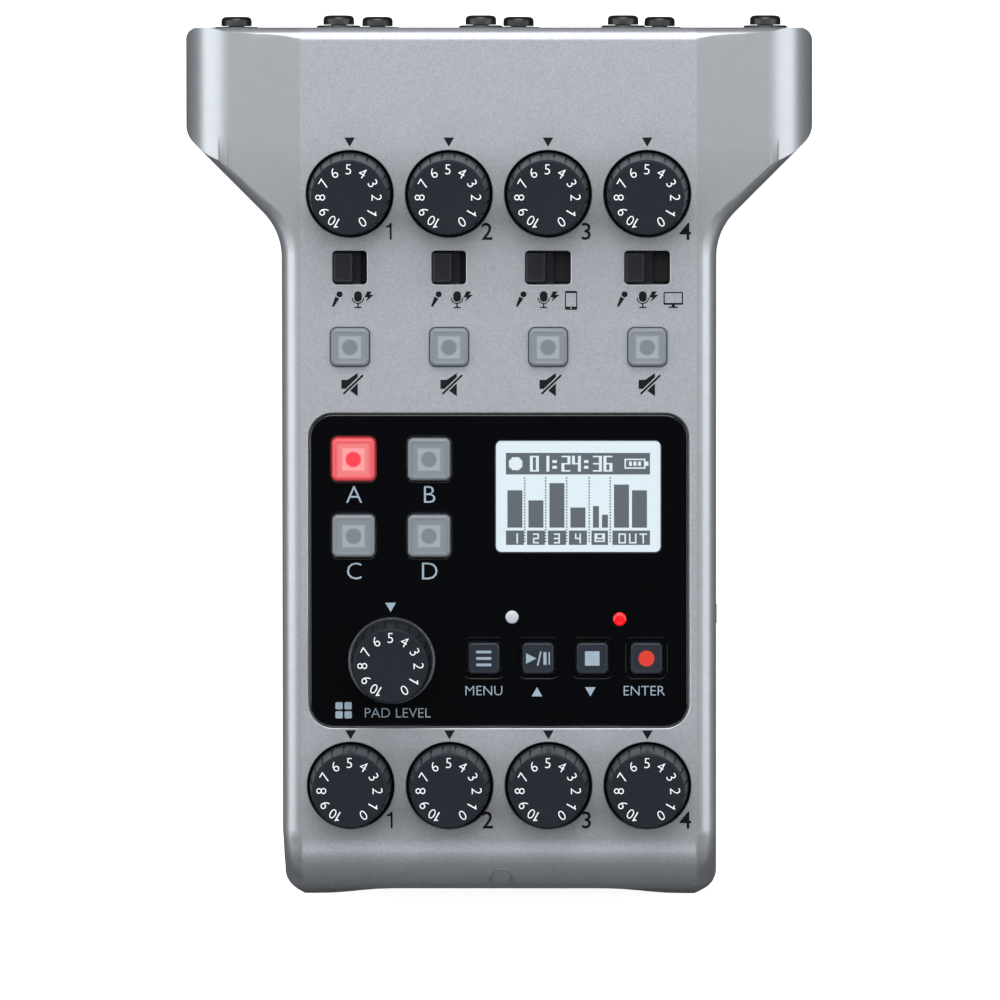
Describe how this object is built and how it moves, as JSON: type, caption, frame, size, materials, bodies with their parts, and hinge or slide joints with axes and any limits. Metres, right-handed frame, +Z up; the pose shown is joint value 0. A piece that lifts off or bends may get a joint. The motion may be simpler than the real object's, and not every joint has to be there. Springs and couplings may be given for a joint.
{
  "type": "podcast recorder",
  "caption": "T-shaped tabletop recorder: rear microphone jacks, sloping deck with level knobs, input switches, mute buttons, sound pads, transport keys and a backlit display.",
  "frame": {"origin": "centre of the bounding box on the surface that the feet stand on", "axes": "+Z up, +Y towards the microphone jacks at the rear, +X to the right as seen from above with the headphone jacks nearest"},
  "size_m": [0.112, 0.1572, 0.047],
  "materials": {
    "silver_shell": "moulded plastic sprayed silver grey with fine metallic flecks",
    "dark_shell": "fine textured dark grey moulded plastic",
    "gloss_panel": "high gloss black panel with pale printed marks",
    "display_glass": "backlit display, pale blue white with grey segments",
    "knob_plastic": "satin slate black plastic with white printed numbers",
    "jack_plastic": "black glass filled plastic",
    "latch_plastic": "satin black plastic",
    "silicone": "translucent grey silicone",
    "lit_silicone": "translucent silicone lit red from below",
    "key_plastic": "satin black plastic",
    "circuit_board": "green solder mask with soldered parts",
    "black_steel": "black plated steel screw",
    "contact_steel": "nickel plated spring steel",
    "cell_wrap": "plain printed sleeve on a dry cell",
    "card_plastic": "black plastic card",
    "foot_rubber": "matte black rubber"
  },
  "bodies": {
    "recorder": {"top_shell": "silver_shell", "bottom_shell": "dark_shell", "control_panel": "gloss_panel", "display_module": "display_glass", "main_board": "circuit_board", "headphone_board": "jack_plastic", "mic_jack_1": "jack_plastic", "mic_jack_2": "jack_plastic", "mic_jack_3": "jack_plastic", "mic_jack_4": "jack_plastic", "mic_jack_screw_1": "black_steel", "mic_jack_screw_2": "black_steel", "mic_jack_screw_3": "black_steel", "mic_jack_screw_4": "black_steel", "mic_jack_screw_5": "black_steel", "mic_jack_screw_6": "black_steel", "mic_jack_screw_7": "black_steel", "mic_jack_screw_8": "black_steel", "battery_1": "cell_wrap", "battery_2": "cell_wrap", "battery_bridge": "contact_steel", "negative_contact": "contact_steel", "positive_contact": "contact_steel", "foot_1": "foot_rubber", "foot_2": "foot_rubber", "foot_3": "foot_rubber", "foot_4": "foot_rubber"},
    "battery_door": {"battery_door": "dark_shell"},
    "card_door": {"card_door": "silver_shell"},
    "power_switch": {"power_switch": "key_plastic"},
    "memory_card": {"memory_card": "card_plastic"},
    "input_switch_1": {"input_switch_1": "key_plastic"},
    "input_switch_2": {"input_switch_2": "key_plastic"},
    "input_switch_3": {"input_switch_3": "key_plastic"},
    "input_switch_4": {"input_switch_4": "key_plastic"},
    "pad_level_knob": {"pad_level_knob": "knob_plastic"},
    "gain_knob_1": {"gain_knob_1": "knob_plastic"},
    "gain_knob_2": {"gain_knob_2": "knob_plastic"},
    "gain_knob_3": {"gain_knob_3": "knob_plastic"},
    "gain_knob_4": {"gain_knob_4": "knob_plastic"},
    "volume_knob_1": {"volume_knob_1": "knob_plastic"},
    "volume_knob_2": {"volume_knob_2": "knob_plastic"},
    "volume_knob_3": {"volume_knob_3": "knob_plastic"},
    "volume_knob_4": {"volume_knob_4": "knob_plastic"},
    "mic_latch_1": {"mic_latch_1": "latch_plastic"},
    "mic_latch_2": {"mic_latch_2": "latch_plastic"},
    "mic_latch_3": {"mic_latch_3": "latch_plastic"},
    "mic_latch_4": {"mic_latch_4": "latch_plastic"},
    "mute_button_1": {"mute_button_1": "silicone"},
    "mute_button_2": {"mute_button_2": "silicone"},
    "mute_button_3": {"mute_button_3": "silicone"},
    "mute_button_4": {"mute_button_4": "silicone"},
    "sound_pad_a": {"sound_pad_a": "lit_silicone"},
    "sound_pad_b": {"sound_pad_b": "silicone"},
    "sound_pad_c": {"sound_pad_c": "silicone"},
    "sound_pad_d": {"sound_pad_d": "silicone"},
    "menu_key": {"menu_key": "key_plastic"},
    "play_key": {"play_key": "key_plastic"},
    "stop_key": {"stop_key": "key_plastic"},
    "record_key": {"record_key": "key_plastic"}
  },
  "joints": [
    {"name": "battery_door_slide", "type": "slide", "parent": "recorder", "child": "battery_door", "axis": [1, 0, 0], "range_m": [0, 0.06]},
    {"name": "card_door_hinge", "type": "hinge", "parent": "recorder", "child": "card_door", "pos_m": [0.03805, 0.01486, 0.01958], "axis": [0, 0.9978, 0.0663], "range_deg": [0, 100]},
    {"name": "power_switch_slide", "type": "slide", "parent": "recorder", "child": "power_switch", "axis": [0, 0.9978, 0.0663], "range_m": [0, 0.003]},
    {"name": "memory_card_slide", "type": "slide", "parent": "recorder", "child": "memory_card", "axis": [1, 0, 0], "range_m": [-0.0008, 0.0012]},
    {"name": "input_switch_1_slide", "type": "slide", "parent": "recorder", "child": "input_switch_1", "axis": [1, 0, 0], "range_m": [0, 0.0024]},
    {"name": "input_switch_2_slide", "type": "slide", "parent": "recorder", "child": "input_switch_2", "axis": [1, 0, 0], "range_m": [0, 0.0024]},
    {"name": "input_switch_3_slide", "type": "slide", "parent": "recorder", "child": "input_switch_3", "axis": [1, 0, 0], "range_m": [0, 0.0044]},
    {"name": "input_switch_4_slide", "type": "slide", "parent": "recorder", "child": "input_switch_4", "axis": [1, 0, 0], "range_m": [0, 0.0044]},
    {"name": "pad_level_turn", "type": "hinge", "parent": "recorder", "child": "pad_level_knob", "pos_m": [-0.0192, -0.03682, 0.03108], "axis": [0, -0.0663, 0.9978], "range_deg": [-150, 150]},
    {"name": "gain_1_turn", "type": "hinge", "parent": "recorder", "child": "gain_knob_1", "pos_m": [-0.02655, 0.0467, 0.03663], "axis": [0, -0.0663, 0.9978], "range_deg": [-150, 150]},
    {"name": "gain_2_turn", "type": "hinge", "parent": "recorder", "child": "gain_knob_2", "pos_m": [-0.00885, 0.0467, 0.03663], "axis": [0, -0.0663, 0.9978], "range_deg": [-150, 150]},
    {"name": "gain_3_turn", "type": "hinge", "parent": "recorder", "child": "gain_knob_3", "pos_m": [0.00885, 0.0467, 0.03663], "axis": [0, -0.0663, 0.9978], "range_deg": [-150, 150]},
    {"name": "gain_4_turn", "type": "hinge", "parent": "recorder", "child": "gain_knob_4", "pos_m": [0.02655, 0.0467, 0.03663], "axis": [0, -0.0663, 0.9978], "range_deg": [-150, 150]},
    {"name": "volume_1_turn", "type": "hinge", "parent": "recorder", "child": "volume_knob_1", "pos_m": [-0.02655, -0.05917, 0.02959], "axis": [0, -0.0663, 0.9978], "range_deg": [-150, 150]},
    {"name": "volume_2_turn", "type": "hinge", "parent": "recorder", "child": "volume_knob_2", "pos_m": [-0.00885, -0.05917, 0.02959], "axis": [0, -0.0663, 0.9978], "range_deg": [-150, 150]},
    {"name": "volume_3_turn", "type": "hinge", "parent": "recorder", "child": "volume_knob_3", "pos_m": [0.00885, -0.05917, 0.02959], "axis": [0, -0.0663, 0.9978], "range_deg": [-150, 150]},
    {"name": "volume_4_turn", "type": "hinge", "parent": "recorder", "child": "volume_knob_4", "pos_m": [0.02655, -0.05917, 0.02959], "axis": [0, -0.0663, 0.9978], "range_deg": [-150, 150]},
    {"name": "mic_latch_1_press", "type": "slide", "parent": "recorder", "child": "mic_latch_1", "axis": [0, -1, 0], "range_m": [0, 0.0015], "stiffness_N_per_m": 400, "springref_m": -0.0005},
    {"name": "mic_latch_2_press", "type": "slide", "parent": "recorder", "child": "mic_latch_2", "axis": [0, -1, 0], "range_m": [0, 0.0015], "stiffness_N_per_m": 400, "springref_m": -0.0005},
    {"name": "mic_latch_3_press", "type": "slide", "parent": "recorder", "child": "mic_latch_3", "axis": [0, -1, 0], "range_m": [0, 0.0015], "stiffness_N_per_m": 400, "springref_m": -0.0005},
    {"name": "mic_latch_4_press", "type": "slide", "parent": "recorder", "child": "mic_latch_4", "axis": [0, -1, 0], "range_m": [0, 0.0015], "stiffness_N_per_m": 400, "springref_m": -0.0005},
    {"name": "mute_1_press", "type": "slide", "parent": "recorder", "child": "mute_button_1", "axis": [0, 0.0663, -0.9978], "range_m": [0, 0.001], "stiffness_N_per_m": 400, "springref_m": -0.0005},
    {"name": "mute_2_press", "type": "slide", "parent": "recorder", "child": "mute_button_2", "axis": [0, 0.0663, -0.9978], "range_m": [0, 0.001], "stiffness_N_per_m": 400, "springref_m": -0.0005},
    {"name": "mute_3_press", "type": "slide", "parent": "recorder", "child": "mute_button_3", "axis": [0, 0.0663, -0.9978], "range_m": [0, 0.001], "stiffness_N_per_m": 400, "springref_m": -0.0005},
    {"name": "mute_4_press", "type": "slide", "parent": "recorder", "child": "mute_button_4", "axis": [0, 0.0663, -0.9978], "range_m": [0, 0.001], "stiffness_N_per_m": 400, "springref_m": -0.0005},
    {"name": "sound_pad_a_press", "type": "slide", "parent": "recorder", "child": "sound_pad_a", "axis": [0, 0.0663, -0.9978], "range_m": [0, 0.001], "stiffness_N_per_m": 400, "springref_m": -0.0005},
    {"name": "sound_pad_b_press", "type": "slide", "parent": "recorder", "child": "sound_pad_b", "axis": [0, 0.0663, -0.9978], "range_m": [0, 0.001], "stiffness_N_per_m": 400, "springref_m": -0.0005},
    {"name": "sound_pad_c_press", "type": "slide", "parent": "recorder", "child": "sound_pad_c", "axis": [0, 0.0663, -0.9978], "range_m": [0, 0.001], "stiffness_N_per_m": 400, "springref_m": -0.0005},
    {"name": "sound_pad_d_press", "type": "slide", "parent": "recorder", "child": "sound_pad_d", "axis": [0, 0.0663, -0.9978], "range_m": [0, 0.001], "stiffness_N_per_m": 400, "springref_m": -0.0005},
    {"name": "menu_key_press", "type": "slide", "parent": "recorder", "child": "menu_key", "axis": [0, 0.0663, -0.9978], "range_m": [0, 0.001], "stiffness_N_per_m": 400, "springref_m": -0.0005},
    {"name": "play_key_press", "type": "slide", "parent": "recorder", "child": "play_key", "axis": [0, 0.0663, -0.9978], "range_m": [0, 0.001], "stiffness_N_per_m": 400, "springref_m": -0.0005},
    {"name": "stop_key_press", "type": "slide", "parent": "recorder", "child": "stop_key", "axis": [0, 0.0663, -0.9978], "range_m": [0, 0.001], "stiffness_N_per_m": 400, "springref_m": -0.0005},
    {"name": "record_key_press", "type": "slide", "parent": "recorder", "child": "record_key", "axis": [0, 0.0663, -0.9978], "range_m": [0, 0.001], "stiffness_N_per_m": 400, "springref_m": -0.0005}
  ]
}
